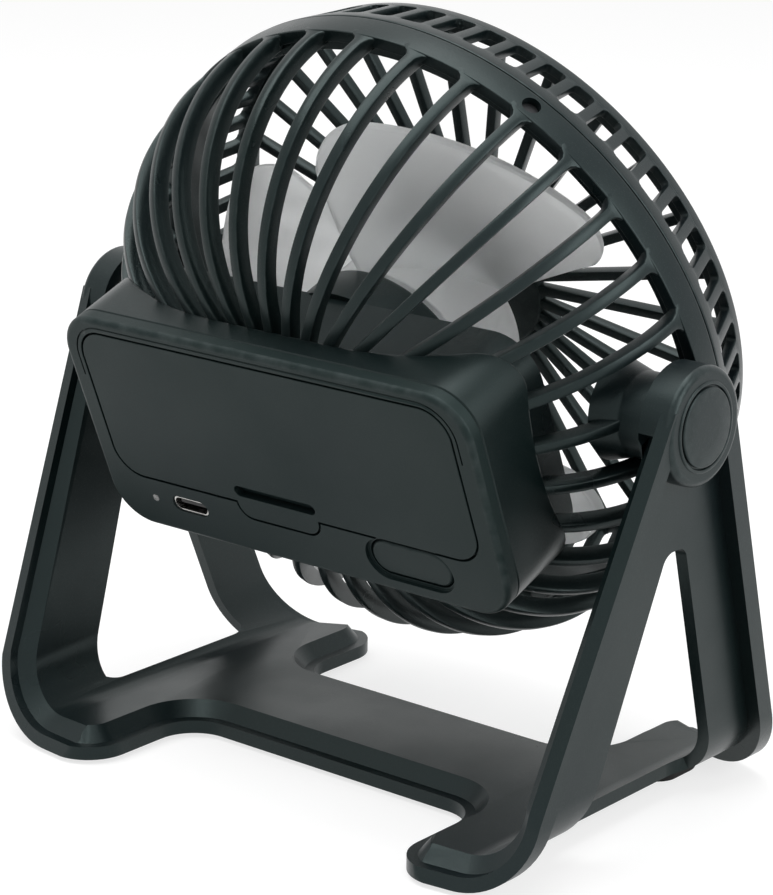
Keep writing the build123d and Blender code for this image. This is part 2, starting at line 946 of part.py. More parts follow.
def pivot_cap():
    face = collar_outer + cap_proud
    cap = rod_x(cap_radius, face - cap_thickness, face)
    rim = cap.faces().sort_by(Axis.X)[-1].edges()
    return Pos(0, 0, pivot_height) * fillet(rim, cap_edge)


def friction_washers():
    start = collar_inner - friction_washer_thickness
    ring = rod_x(friction_washer_radius, start, collar_inner)
    ring -= rod_x(pin_radius + running_gap, start, collar_inner)
    return Compound([Pos(0, 0, pivot_height) * shape for shape in both_sides(ring)])


head_parts = {
    "rear_cage": rear_cage,
    "front_grille": front_grille,
    "grille_badge": grille_badge,
    "ring_screws": ring_screws,
    "impeller": impeller,
    "motor_shaft": motor_shaft,
    "motor_armature": motor_armature,
    "motor_magnet": motor_magnet,
    "motor_can": motor_can,
    "motor_end_cap": motor_end_cap,
    "bearing_front": bearing_front,
    "bearing_rear": bearing_rear,
    "motor_screws": motor_screws,
    "rear_cover": rear_cover,
    "cover_screws": cover_screws,
    "battery_door": battery_door,
    "battery_cell": battery_cell,
    "battery_tray": battery_tray,
    "battery_contact_positive": lambda: leaf_contact(1),
    "battery_contact_negative": lambda: leaf_contact(-1),
    "circuit_board": circuit_board,
    "board_screws": board_screws,
    "charge_socket": charge_socket,
    "socket_tongue": socket_tongue,
    "push_switch": push_switch,
    "power_button": power_button,
    "status_led": status_led,
    "light_pipe": light_pipe,
    "pivot_screws": pivot_screws,
    "pivot_washers": pivot_washers,
}

stand_parts = {
    "stand": stand,
    "foot_pads": foot_pads,
    "pivot_cap_left": pivot_cap,
    "pivot_cap_right": lambda: mirror(pivot_cap(), Plane.YZ),
    "friction_washers": friction_washers,
}

os.makedirs("parts", exist_ok=True)
for node, build in head_parts.items():
    export_step(place_head(build()), f"parts/{node}.step")
for node, build in stand_parts.items():
    export_step(place_stand(build()), f"parts/{node}.step")
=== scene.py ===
from math import asin, cos, pi, radians, sin, sqrt, tan, tau

import bmesh
import bpy
from mathutils import Matrix, Vector


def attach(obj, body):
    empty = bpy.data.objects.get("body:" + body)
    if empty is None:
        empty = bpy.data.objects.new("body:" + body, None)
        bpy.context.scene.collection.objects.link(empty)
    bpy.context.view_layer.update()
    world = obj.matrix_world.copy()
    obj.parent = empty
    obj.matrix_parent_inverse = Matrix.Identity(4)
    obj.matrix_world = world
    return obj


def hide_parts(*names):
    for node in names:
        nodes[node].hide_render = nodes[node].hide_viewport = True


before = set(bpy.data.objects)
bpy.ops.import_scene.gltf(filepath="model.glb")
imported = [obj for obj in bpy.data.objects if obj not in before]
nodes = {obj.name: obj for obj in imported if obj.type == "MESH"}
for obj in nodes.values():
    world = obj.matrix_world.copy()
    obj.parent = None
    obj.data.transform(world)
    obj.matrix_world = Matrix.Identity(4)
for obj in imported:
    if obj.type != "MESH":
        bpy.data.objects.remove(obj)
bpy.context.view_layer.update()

scene = bpy.context.scene

# Sizes in metres. The head is drawn level about the tilt axle: x across, y rearward, z up.
mm = 0.001
tilt = radians(21.5)
pivot_height = 81.8 * mm
pivot_back = 3.17 * mm
pivot_place = Matrix.Translation((0, pivot_back, pivot_height))
head_place = pivot_place @ Matrix.Rotation(-tilt, 4, "X")
half_turn = Matrix.Rotation(pi, 4, "Z")

# Rear cage
seam_y = -16.85 * mm
seam_bevel = 0.45 * mm
ring_radius = 64.9 * mm
ring_wall = 2.5 * mm
ring_width = 5.7 * mm
ring_round = 0.25 * mm
window_y = seam_y + ring_width
window_corner = 2.0 * mm
dome_radius = 38.7 * mm
dome_centre = 26.05 * mm
rib_count = 34
rib_width = 2.2 * mm
rib_depth = 3.4 * mm
rib_round = 0.45 * mm
rib_lean = radians(3.5)
rib_first_angle = 1.9
rib_root = 12.0 * mm
rib_foot = 1.2 * mm
rib_steps = 88
rib_round_steps = 2
ring_screw_ribs = (5, 16, 28)
ring_screw_head = 1.8 * mm
ring_screw_hole = (60.0 * mm, 68.0 * mm)

# Battery housing
housing_width = 99.2 * mm
housing_height = 48.6 * mm
housing_drop = 1.25 * mm
housing_corner = 9.0 * mm
housing_wall = 2.2 * mm
housing_rear = 35.2 * mm
shelf_step = 3.5 * mm
shelf_lip = 0.6 * mm
shelf_round = 0.9 * mm
shelf_round_share = 0.45
shelf_round_steps = 5
shelf_shares = (0.35, 0.7, 1.0)
floor_front = 9.5 * mm
floor_rear = 11.5 * mm
well_cut = (8.0 * mm, 13.0 * mm)
cover_seam_y = 32.1 * mm
cover_inner_y = 31.35 * mm
cover_edge = 0.22 * mm
board_front = 23.0 * mm
button_edge = 0.2 * mm

# Screw posts in the housing: across, up, radius, rear level
post_places = (
    (-15.8 * mm, -18.15 * mm, 2.6 * mm, board_front), (15.8 * mm, -18.15 * mm, 2.6 * mm, board_front),
    (-41.0 * mm, 3.25 * mm, 2.9 * mm, cover_inner_y), (41.0 * mm, 3.25 * mm, 2.9 * mm, cover_inner_y))
post_hole = 0.8 * mm
post_foot = 0.5 * mm
post_foot_height = 1.0 * mm
post_round = 0.25 * mm

# Battery door, and the fine line round its opening
door_width = 89.8 * mm
door_height = 33.0 * mm
door_corner = 6.0 * mm
door_raise = 3.25 * mm
door_edge = 0.25 * mm
door_line_out = 1.25 * mm
door_line_width = 0.35 * mm
door_line_depth = 0.4 * mm
door_line_over = 0.5 * mm
door_line_stop = 22.0 * mm

# Motor drum
drum_radius = 20.0 * mm
drum_wall = 2.0 * mm
drum_front_y = 0.0
drum_round = 0.9 * mm
drum_foot_height = 0.6 * mm
drum_foot_reach = 0.7 * mm
drum_foot_sink = 0.4 * mm
bearing_hole = 4.15 * mm
bearing_hole_round = 0.3 * mm

# Fan wheel
hub_radius = 19.0 * mm
hub_wall = 2.0 * mm
hub_rear_y = -1.5 * mm
hub_front_y = -17.5 * mm
hub_round = 1.6 * mm
hub_rim_round = 0.4 * mm
hub_inner_round = 0.8 * mm
hub_boss_radius = 4.5 * mm
hub_boss_round = 0.3 * mm
hub_boss_foot = 0.5 * mm
shaft_radius = 1.5 * mm
blade_count = 3
blade_radius = 51.5 * mm
blade_half_span = radians(37.0)
blade_corner = 10.0 * mm
blade_thickness = 1.5 * mm
blade_lip = 0.5 * mm
blade_lip_start = 0.8 * mm
blade_lip_end = 2.4 * mm
blade_edge = 0.6 * mm
blade_edge_least = 0.16
blade_pitches = (radians(36.0), radians(22.0), radians(18.0))
blade_first_angle = 59.7
blade_across = 44
blade_outward = 18
blade_crowding = 1.6

# Front grille
grille_top_y = -17.0 * mm
grille_front_y = -31.8 * mm
grille_front_radius = 59.9 * mm
grille_wall = 2.2 * mm
grille_rim = 3.2 * mm
grille_rim_depth = 2.5 * mm
grille_rim_round = 0.8 * mm
grille_rim_inner_round = 0.6 * mm
grille_rim_rear_round = 0.4 * mm
spigot_wall = 2.2 * mm
spigot_length = 4.6 * mm
spigot_gap = 0.15 * mm
spigot_round = 0.3 * mm
spigot_lead = 0.4 * mm
slot_count = 56
slot_width = 4.7 * mm
slot_rear_y = grille_top_y - 3.2 * mm
slot_front_y = slot_rear_y - 8.8 * mm
slot_corner = 1.1 * mm
slot_corner_shares = (0.1, 0.3, 0.6, 1.0)
slot_round = 0.25 * mm
bar_first_angle = 0.5 * 360 / slot_count
bar_bury = 0.3 * mm
bar_thinner = 0.06 * mm
bar_round = 0.3 * mm
bar_round_steps = 2
spoke_count = 30
spoke_first_angle = -0.8
spoke_width = 2.1 * mm
spoke_depth = 2.2 * mm
spoke_bury = 1.0 * mm
spoke_inset = 0.1 * mm
spoke_round = 0.4 * mm
centre_radius = 15.0 * mm
centre_thickness = 2.5 * mm
centre_round = 0.5 * mm
centre_rear_round = 0.7 * mm
badge_radius = 12.5 * mm
badge_thickness = 1.0 * mm
badge_round = 0.35 * mm
badge_rim = 1.2 * mm
badge_rim_round = 0.3 * mm
badge_field = 1.6 * mm
badge_field_drop = 0.25 * mm
badge_field_round = 0.2 * mm
badge_centre_drop = 0.1 * mm

# Pivots
trunnion_radius = 8.0 * mm
trunnion_inner = 54.0 * mm
trunnion_end = 65.3 * mm
trunnion_round = 0.5 * mm
trunnion_foot = 1.6 * mm
trunnion_foot_back = 3.0 * mm
trunnion_foot_round = 2.0 * mm
pin_radius = 5.0 * mm
pin_end = 69.3 * mm
pin_round = 0.3 * mm
pivot_screw_radius = 1.4 * mm
pivot_screw_depth = 9.0 * mm
cap_radius = 8.5 * mm
cap_thickness = 1.2 * mm
cap_face = 73.6 * mm
cap_rim = 1.1 * mm
cap_rim_drop = 0.35 * mm
cap_round = 0.35 * mm
cap_groove_top = 0.45 * mm
cap_groove_round = 0.2 * mm
cap_groove_floor = 0.25 * mm
cap_groove_depth = 0.8 * mm
cap_disc_drop = 0.12 * mm
cap_dome_share = 0.5
cap_dome_drop = 0.03 * mm
cap_dome_round = 2.0 * mm

# Stand
arm_outer = 72.7 * mm
arm_lean = radians(4.2)
bend_radius = 16.0 * mm
stand_lift = 1.0 * mm
stand_depth = 5.7 * mm
stand_edge = 0.45 * mm
flange_thickness = 2.7 * mm
panel_under = 3.2 * mm
wall_slope = 2.4 * mm
pad_edge = 0.4 * mm

# Facets round the turned shapes
ring_facets = 272
drum_facets = 144
hub_facets = 128
disc_facets = 120
cap_facets = 112
well_facets = 96
pin_facets = 80
post_facets = 40
hole_facets = 32

# Limits used when meshes are joined, softened and marked for edge wear and painted edge highlights
weld = 1e-7
solid_weld = 2e-6
on_axis = 1e-9
flat_angle = radians(0.4)
sharp_angle = radians(32.0)
edge_angle = radians(28.0)
edge_segments = 3
corner_share = 0.49
worn_and_sheen_face_width = 0.45 * mm
worn_and_sheen_bend = 0.1


# Mesh helpers
def link(name, data):
    obj = bpy.data.objects.new(name, data)
    scene.collection.objects.link(obj)
    return obj


def to_object(name, work):
    mesh = bpy.data.meshes.new(name)
    work.to_mesh(mesh)
    work.free()
    return link(name, mesh)


def mesh_object(name, work):
    bmesh.ops.remove_doubles(work, verts=work.verts, dist=weld)
    bmesh.ops.recalc_face_normals(work, faces=work.faces)
    return to_object(name, work)


def settle(obj):
    graph = bpy.context.evaluated_depsgraph_get()
    mesh = bpy.data.meshes.new_from_object(obj.evaluated_get(graph))
    obj.modifiers.clear()
    obj.data = mesh
    return obj


def smooth(obj):
    for polygon in obj.data.polygons:
        polygon.use_smooth = True
    obj.data.set_sharp_from_angle(angle=sharp_angle)


def join(name, objects):
    work = bmesh.new()
    for obj in objects:
        work.from_mesh(obj.data)
        bpy.data.objects.remove(obj)
    return to_object(name, work)


def cut(obj, cutters):
    for cutter in cutters:
        away = obj.modifiers.new("cut", "BOOLEAN")
        away.object = cutter
        away.operation = "DIFFERENCE"
        away.solver = "EXACT"
    settle(obj)
    for cutter in cutters:
        bpy.data.objects.remove(cutter)
    return obj


# Marks the rounded edges. Their colour there is partly wear and partly a painted highlight along the edges.
def mark_worn_and_sheen_edges(mesh):
    work = bmesh.new()
    work.from_mesh(mesh)
    worn_and_sheen = work.verts.layers.float.new("worn_and_sheen_edge")
    slim = set()
    for face in work.faces:
        if face.calc_area() < worn_and_sheen_face_width * max(edge.calc_length() for edge in face.edges):
            slim.add(face)
    for vert in work.verts:
        bends = [edge.calc_face_angle_signed(0.0) for edge in vert.link_edges]
        if bends and max(bends) > worn_and_sheen_bend and all(face in slim for face in vert.link_faces):
            vert[worn_and_sheen] = 1.0
    work.to_mesh(mesh)
    work.free()


def finish_piece(obj, body, slot, place=None, stands_for=()):
    if place is not None:
        obj.data.transform(place)
    obj.data.materials.clear()
    obj.data.materials.append(finishes[slot])
    mark_worn_and_sheen_edges(obj.data)
    smooth(obj)
    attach(obj, body)
    if stands_for:
        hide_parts(*stands_for)


def head_piece(obj, slot, stands_for=(), body="head"):
    finish_piece(obj, body, slot, head_place, stands_for)


def eased(low, high, value):
    share = min(max((value - low) / (high - low), 0.0), 1.0)
    return share * share * (3 - 2 * share)


def rounded_outline(corners, steps=4):
    points = []
    count = len(corners)
    for index in range(count):
        x, y, radius = corners[index]
        here = Vector((x, y))
        before = Vector(corners[index - 1][:2]) - here
        after = Vector(corners[(index + 1) % count][:2]) - here
        if radius <= 0:
            points.append((x, y))
            continue
        half = before.angle(after) / 2
        reach = min(radius / tan(half), corner_share * before.length, corner_share * after.length)
        start = here + before.normalized() * reach
        stop = here + after.normalized() * reach
        for step in range(steps + 1):
            t = step / steps
            a = start.lerp(here, t)
            b = here.lerp(stop, t)
            points.append(tuple(a.lerp(b, t)))
    return points


def rounded_rectangle(width, height, corner, raise_z=0.0, per_corner=10, per_side=28):
    points = []
    turns = ((1, 1), (-1, 1), (-1, -1), (1, -1))
    for turn, (sx, sz) in enumerate(turns):
        for step in range(per_corner + 1):
            angle = (turn + step / per_corner) * pi / 2
            x = sx * (width / 2 - corner) + corner * cos(angle)
            z = sz * (height / 2 - corner) + corner * sin(angle)
            points.append(Vector((x, z + raise_z)))
        nx, nz = turns[(turn + 1) % 4]
        after = (turn + 1) * pi / 2
        stop = Vector((nx * (width / 2 - corner) + corner * cos(after),
                       nz * (height / 2 - corner) + corner * sin(after) + raise_z))
        start = points[-1]
        points += [start.lerp(stop, step / per_side) for step in range(1, per_side)]
    return points


def lathe(name, outline, facets, axis="Y"):
    work = bmesh.new()
    rings = []
    for index in range(facets):
        angle = tau * index / facets
        ring = []
        for radius, along in outline:
            a, b = radius * cos(angle), radius * sin(angle)
            ring.append(work.verts.new((a, along, b) if axis == "Y" else (along, a, b)))
        rings.append(ring)
    count = len(outline)
    for index in range(facets):
        here, there = rings[index], rings[(index + 1) % facets]
        for k in range(count):
            n = (k + 1) % count
            if outline[k][0] < on_axis and outline[n][0] < on_axis:
                continue
            corners = [here[k], here[n], there[n], there[k]]
            if outline[k][0] < on_axis:
                corners = [here[k], here[n], there[n]]
            if outline[n][0] < on_axis:
                corners = [here[k], here[n], there[k]]
            work.faces.new(corners)
    return mesh_object(name, work)


def turned(name, corners, facets, axis="Y"):
    return lathe(name, rounded_outline(corners), facets, axis)


def plug(name, radius, span, facets, axis="Y"):
    start, stop = span
    return lathe(name, [(0.0, start), (radius, start), (radius, stop), (0.0, stop)], facets, axis)


def loft(name, loops):
    work = bmesh.new()
    rings = [[work.verts.new(p) for p in loop] for loop in loops]
    count = len(loops[0])
    for a, b in zip(rings, rings[1:]):
        for k in range(count):
            n = (k + 1) % count
            work.faces.new((a[k], a[n], b[n], b[k]))
    work.faces.new(rings[0])
    work.faces.new(rings[-1])
    return mesh_object(name, work)


def dissolve_flat(work):
    bmesh.ops.dissolve_limit(work, angle_limit=flat_angle, verts=work.verts, edges=work.edges)


def softened(node_name, width, sloped=None, grooves=()):
    work = bmesh.new()
    work.from_mesh(nodes[node_name].data)
    bmesh.ops.remove_doubles(work, verts=work.verts, dist=solid_weld)
    dissolve_flat(work)
    if sloped is not None:
        slope_walls(work, sloped)
    obj = to_object(node_name + "_soft", work)
    bevel = obj.modifiers.new("edges", "BEVEL")
    bevel.width = width
    bevel.segments = edge_segments
    bevel.limit_method = "ANGLE"
    bevel.angle_limit = edge_angle
    bevel.miter_outer = "MITER_ARC"
    settle(obj)
    if grooves:
        cut(obj, grooves)
    smooth(obj)
    even = obj.modifiers.new("even", "WEIGHTED_NORMAL")
    even.weight = 90
    even.keep_sharp = True
    return settle(obj)


def around(angle):
    return radians(angle + 180.0)


# Node trees for shapes that repeat
def node(tree, kind, inputs=None, **settings):
    made = tree.nodes.new(kind)
    for key, value in settings.items():
        setattr(made, key, value)
    for key, value in (inputs or {}).items():
        if isinstance(value, bpy.types.NodeSocket):
            tree.links.new(value, made.inputs[key])
        else:
            made.inputs[key].default_value = value
    return made


def maths(tree, operation, *values):
    return node(tree, "ShaderNodeMath", dict(enumerate(values)), operation=operation).outputs[0]


def tree_with(name, sockets):
    tree = bpy.data.node_groups.new(name, "GeometryNodeTree")
    tree.interface.new_socket("Geometry", in_out="INPUT", socket_type="NodeSocketGeometry")
    for label, kind in sockets:
        tree.interface.new_socket(label, in_out="INPUT", socket_type="NodeSocket" + kind)
    tree.interface.new_socket("Geometry", in_out="OUTPUT", socket_type="NodeSocketGeometry")
    return tree, tree.nodes.new("NodeGroupInput").outputs, tree.nodes.new("NodeGroupOutput")


def grow(obj, tree, values):
    modifier = obj.modifiers.new("grow", "NODES")
    modifier.node_group = tree
    for item in tree.interface.items_tree:
        if item.item_type == "SOCKET" and item.in_out == "INPUT" and item.name in values:
            modifier[item.identifier] = values[item.name]
    return settle(obj)


def spread_round_axle(tree, shape, count, first, step, finish):
    points = node(tree, "GeometryNodePoints", {"Count": count}).outputs[0]
    index = node(tree, "GeometryNodeInputIndex").outputs[0]
    angle = maths(tree, "MULTIPLY_ADD", index, step, first)
    turn = node(tree, "ShaderNodeCombineXYZ", {"Y": angle}).outputs[0]
    spread = node(tree, "GeometryNodeInstanceOnPoints", {"Points": points, "Instance": shape, "Rotation": turn})
    real = node(tree, "GeometryNodeRealizeInstances", {"Geometry": spread.outputs[0]}).outputs[0]
    return node(tree, "GeometryNodeSetMaterial", {"Geometry": real, "Material": finish}).outputs[0]


def copies_tree():
    tree, given, out = tree_with("copies_round_the_axle", [
        ("Count", "Int"), ("First Angle", "Float"), ("Step", "Float"), ("Finish", "Material")])
    copies = spread_round_axle(
        tree, given["Geometry"], given["Count"], given["First Angle"], given["Step"], given["Finish"])
    tree.links.new(copies, out.inputs[0])
    return tree


def rib_tree():
    tree, given, out = tree_with("cage_ribs_along_the_dome", [
        ("Count", "Int"), ("First Angle", "Float"), ("Step", "Float"), ("Lean", "Float"),
        ("Ring Radius", "Float"), ("Ring Wall", "Float"), ("Dome Radius", "Float"), ("Dome Centre", "Float"),
        ("Window Level", "Float"), ("Root", "Float"), ("Foot", "Float"), ("Width", "Float"), ("Depth", "Float"),
        ("Edge Round", "Float"), ("Corner", "Float"), ("Box Half Width", "Float"), ("Box Half Height", "Float"),
        ("Box Middle", "Float"), ("Box Corner", "Float"), ("Box Front", "Float"), ("Finish", "Material")])

    def calc(operation, *values):
        return maths(tree, operation, *values)

    middle = calc("SUBTRACT", given["Dome Radius"], calc("MULTIPLY", given["Depth"], 0.5))
    quarter = calc("MULTIPLY", middle, pi / 2)
    straight = calc("SUBTRACT", given["Dome Centre"], given["Root"])
    total = calc("ADD", calc("ADD", given["Foot"], quarter), straight)
    line = node(tree, "GeometryNodeCurvePrimitiveLine", {"End": (1, 0, 0)}).outputs[0]
    line = node(tree, "GeometryNodeResampleCurve", {"Curve": line, "Count": rib_steps}).outputs[0]
    share = node(tree, "GeometryNodeSplineParameter").outputs["Factor"]
    along = calc("SUBTRACT", calc("MULTIPLY", share, total), given["Foot"])
    angle = calc("MINIMUM", calc("MAXIMUM", calc("DIVIDE", along, middle), 0.0), pi / 2)
    past = calc("MAXIMUM", calc("SUBTRACT", along, quarter), 0.0)
    before = calc("MINIMUM", along, 0.0)
    x = calc("SUBTRACT", calc("MULTIPLY_ADD", middle, calc("COSINE", angle), given["Dome Centre"]), past)
    y = calc("ADD", calc("MULTIPLY_ADD", middle, calc("SINE", angle), given["Window Level"]), before)
    path = node(tree, "GeometryNodeSetPosition", {
        "Geometry": line, "Position": node(tree, "ShaderNodeCombineXYZ", {"X": x, "Y": y}).outputs[0]}).outputs[0]
    path = node(tree, "GeometryNodeSetCurveNormal", {"Curve": path}, mode="Z_UP").outputs[0]
    section = node(tree, "GeometryNodeCurvePrimitiveQuadrilateral", {
        "Width": given["Depth"], "Height": given["Width"]}).outputs[0]
    section = node(tree, "GeometryNodeFilletCurve", {
        "Curve": section, "Count": rib_round_steps, "Radius": given["Edge Round"]}, mode="POLY").outputs[0]
    rib = node(tree, "GeometryNodeCurveToMesh", {
        "Curve": path, "Profile Curve": section, "Fill Caps": True}).outputs[0]

    # The rib widens into the ring with the round corners of the windows
    place = node(tree, "GeometryNodeInputPosition").outputs[0]
    here = node(tree, "ShaderNodeSeparateXYZ", {"Vector": place}).outputs
    rise = calc("MINIMUM", calc("MAXIMUM", calc("SUBTRACT", here["Y"], given["Window Level"]), 0.0), given["Corner"])
    back = calc("SUBTRACT", given["Corner"], rise)
    square = calc("SUBTRACT", calc("MULTIPLY", given["Corner"], given["Corner"]), calc("MULTIPLY", back, back))
    flare = calc("SUBTRACT", given["Corner"], calc("SQRT", calc("MAXIMUM", square, 0.0)))
    ring_inner = calc("SUBTRACT", given["Ring Radius"], given["Ring Wall"])
    fade = node(tree, "ShaderNodeMapRange", {
        "Value": here["X"], "From Min": calc("SUBTRACT", ring_inner, given["Edge Round"]), "From Max": ring_inner},
        interpolation_type="SMOOTHSTEP").outputs[0]
    sideways = calc("MULTIPLY", calc("MULTIPLY", calc("SIGN", here["Z"]), flare), fade)
    rib = node(tree, "GeometryNodeSetPosition", {
        "Geometry": rib, "Offset": node(tree, "ShaderNodeCombineXYZ", {"Z": sideways}).outputs[0]}).outputs[0]

    # The rib leans about the ring
    hinge = node(tree, "ShaderNodeCombineXYZ", {"X": given["Ring Radius"]}).outputs[0]
    leaning = node(tree, "ShaderNodeVectorRotate", {
        "Vector": place, "Center": hinge, "Axis": (0, 1, 0), "Angle": calc("MULTIPLY", given["Lean"], -1.0)},
        rotation_type="AXIS_ANGLE").outputs[0]
    rib = node(tree, "GeometryNodeSetPosition", {"Geometry": rib, "Position": leaning}).outputs[0]
    ribs = spread_round_axle(tree, rib, given["Count"], given["First Angle"], given["Step"], given["Finish"])

    # The ribs end inside the wall of the battery box
    qx = calc("SUBTRACT", calc("ABSOLUTE", here["X"]), calc("SUBTRACT", given["Box Half Width"], given["Box Corner"]))
    low = calc("ABSOLUTE", calc("SUBTRACT", here["Z"], given["Box Middle"]))
    qz = calc("SUBTRACT", low, calc("SUBTRACT", given["Box Half Height"], given["Box Corner"]))
    far_x = calc("MAXIMUM", qx, 0.0)
    far_z = calc("MAXIMUM", qz, 0.0)
    far = calc("SQRT", calc("ADD", calc("MULTIPLY", far_x, far_x), calc("MULTIPLY", far_z, far_z)))
    near = calc("MINIMUM", calc("MAXIMUM", qx, qz), 0.0)
    within = calc("LESS_THAN", calc("ADD", far, near), given["Box Corner"])
    behind = calc("GREATER_THAN", here["Y"], given["Box Front"])
    trimmed = node(tree, "GeometryNodeDeleteGeometry", {
        "Geometry": ribs, "Selection": calc("MULTIPLY", within, behind)}, domain="POINT").outputs[0]
    tree.links.new(trimmed, out.inputs[0])
    return tree


# Shader groups that the finishes share
def shader_group(name, inputs, outputs):
    group = bpy.data.node_groups.new(name, "ShaderNodeTree")
    for label, kind, value in inputs:
        socket = group.interface.new_socket(label, in_out="INPUT", socket_type="NodeSocket" + kind)
        socket.default_value = value
    for label, kind in outputs:
        group.interface.new_socket(label, in_out="OUTPUT", socket_type="NodeSocket" + kind)
    return group, group.nodes.new("NodeGroupInput").outputs, group.nodes.new("NodeGroupOutput").inputs


def object_place(tree):
    return node(tree, "ShaderNodeTexCoord").outputs["Object"]


def cloud(tree, scale, detail):
    return node(tree, "ShaderNodeTexNoise", {
        "Vector": object_place(tree), "Scale": scale, "Detail": detail}).outputs["Fac"]


def share_between(tree, value, low, high):
    return node(tree, "ShaderNodeMapRange", {"Value": value, "From Min": low, "From Max": high}).outputs[0]


def blend(tree, share, first, second):
    return node(tree, "ShaderNodeMix", {0: share, 6: first, 7: second}, data_type="RGBA").outputs[2]


def mould_grain():
    group, given, out = shader_group(
        "mould_grain", [("Scale", "Float", 2600.0), ("Pits", "Float", 0.5)], [("Height", "Float")])
    pit_level = 0.62
    fine = cloud(group, given["Scale"], 2.0)
    pits = maths(group, "MULTIPLY", maths(group, "GREATER_THAN", fine, pit_level), given["Pits"])
    group.links.new(maths(group, "SUBTRACT", fine, pits), out["Height"])
    return group


def mould_tone():
    group, given, out = shader_group(
        "mould_tone", [("Colour", "Color", (0.02, 0.02, 0.02, 1)), ("Second Colour", "Color", (0.03, 0.03, 0.03, 1)),
                       ("Scale", "Float", 30.0)], [("Colour", "Color")])
    share = share_between(group, cloud(group, given["Scale"], 2.0), 0.32, 0.68)
    group.links.new(blend(group, share, given["Colour"], given["Second Colour"]), out["Colour"])
    return group


def rubbed_edges_and_painted_sheen():
    group, given, out = shader_group("rubbed_edges_and_painted_sheen", [("Strength", "Float", 0.4)], [("Mask", "Float")])
    # Edge mask: rubbed wear, and a painted highlight where the rounded edges catch the light.
    edge = node(group, "ShaderNodeAttribute", attribute_name="worn_and_sheen_edge").outputs["Fac"]
    worn_and_sheen = share_between(group, cloud(group, 420.0, 1.0), 0.35, 0.7)
    mask = maths(group, "MULTIPLY", maths(group, "MULTIPLY", edge, worn_and_sheen), given["Strength"])
    group.links.new(mask, out["Mask"])
    return group


def settled_dust():
    group, given, out = shader_group(
        "settled_dust", [("Scale", "Float", 900.0), ("Amount", "Float", 0.3)], [("Mask", "Float")])
    cells = node(group, "ShaderNodeTexVoronoi", {
        "Vector": object_place(group), "Scale": given["Scale"]}).outputs["Distance"]
    speck = share_between(group, cells, 0.16, 0.05)
    patch = share_between(group, cloud(group, 60.0, 1.0), 0.5, 0.75)
    up = node(group, "ShaderNodeSeparateXYZ", {
        "Vector": node(group, "ShaderNodeNewGeometry").outputs["Normal"]}).outputs["Z"]
    lying = share_between(group, up, 0.1, 0.8)
    specks = maths(group, "MULTIPLY", speck, patch)
    mask = maths(group, "MULTIPLY", specks, maths(group, "MULTIPLY", lying, given["Amount"]))
    group.links.new(mask, out["Mask"])
    return group


def handling_marks():
    group, given, out = shader_group(
        "handling_marks", [("Scale", "Float", 45.0), ("Low", "Float", 0.4), ("High", "Float", 0.55)],
        [("Roughness", "Float")])
    level = node(group, "ShaderNodeMapRange", {
        "Value": cloud(group, given["Scale"], 3.0), "From Min": 0.3, "From Max": 0.7,
        "To Min": given["Low"], "To Max": given["High"]}).outputs[0]
    group.links.new(level, out["Roughness"])
    return group


grain_group = mould_grain()
tone_group = mould_tone()
edge_wear_and_sheen_group = rubbed_edges_and_painted_sheen()
dust_group = settled_dust()
marks_group = handling_marks()


# Finishes
dust_colour = (0.35, 0.35, 0.34, 1)
metal_tone = 160.0
metal_marks = 400.0
metal_grain = (0.2, 0.01)


def placed(tree, group, values):
    made = tree.nodes.new("ShaderNodeGroup")
    made.node_tree = group
    for key, value in values.items():
        made.inputs[key].default_value = value
    return made.outputs[0]


def blank_finish(name, fixed):
    material = bpy.data.materials.new(name)
    material.use_nodes = True
    tree = material.node_tree
    shader = tree.nodes["Principled BSDF"]
    for key, value in fixed.items():
        shader.inputs[key].default_value = value
    return material, tree, shader


def surface(tree, shader, base, marks, rough, grain):
    tree.links.new(base, shader.inputs["Base Color"])
    level = placed(tree, marks_group, {"Scale": marks, "Low": rough[0], "High": rough[1]})
    tree.links.new(level, shader.inputs["Roughness"])
    scale, pits, depth = grain
    height = placed(tree, grain_group, {"Scale": scale, "Pits": pits})
    bump = node(tree, "ShaderNodeBump", {"Height": height, "Strength": 1.0, "Distance": depth * mm})
    tree.links.new(bump.outputs[0], shader.inputs["Normal"])


# Grain is its scale, its pits and its depth in millimetres. Dust is its scale and its amount.
def plastic(name, colour, second, rough, specular=0.5, grain=(2600.0, 0.5, 0.02), tone=30.0, marks=45.0,
            edge=0.3, edge_wear_and_sheen_colour=(0.05, 0.06, 0.06), dust=(900.0, 0.12), **fixed):
    material, tree, shader = blank_finish(name, {"Specular IOR Level": specular, **fixed})
    base = placed(tree, tone_group, {"Colour": (*colour, 1), "Second Colour": (*second, 1), "Scale": tone})
    worn_and_sheen = placed(tree, edge_wear_and_sheen_group, {"Strength": edge})
    # The edge colour is partly wear and partly a painted edge highlight; on the black plastics it lightens the
    # rounded edges.
    base = blend(tree, worn_and_sheen, base, (*edge_wear_and_sheen_colour, 1))
    specks = placed(tree, dust_group, {"Scale": dust[0], "Amount": dust[1]})
    base = blend(tree, specks, base, dust_colour)
    surface(tree, shader, base, marks, rough, grain)
    return material


def metal(name, colour, second, rough, brushed=700.0):
    material, tree, shader = blank_finish(name, {"Metallic": 1.0})
    base = placed(tree, tone_group, {"Colour": (*colour, 1), "Second Colour": (*second, 1), "Scale": metal_tone})
    surface(tree, shader, base, metal_marks, rough, (brushed, *metal_grain))
    return material


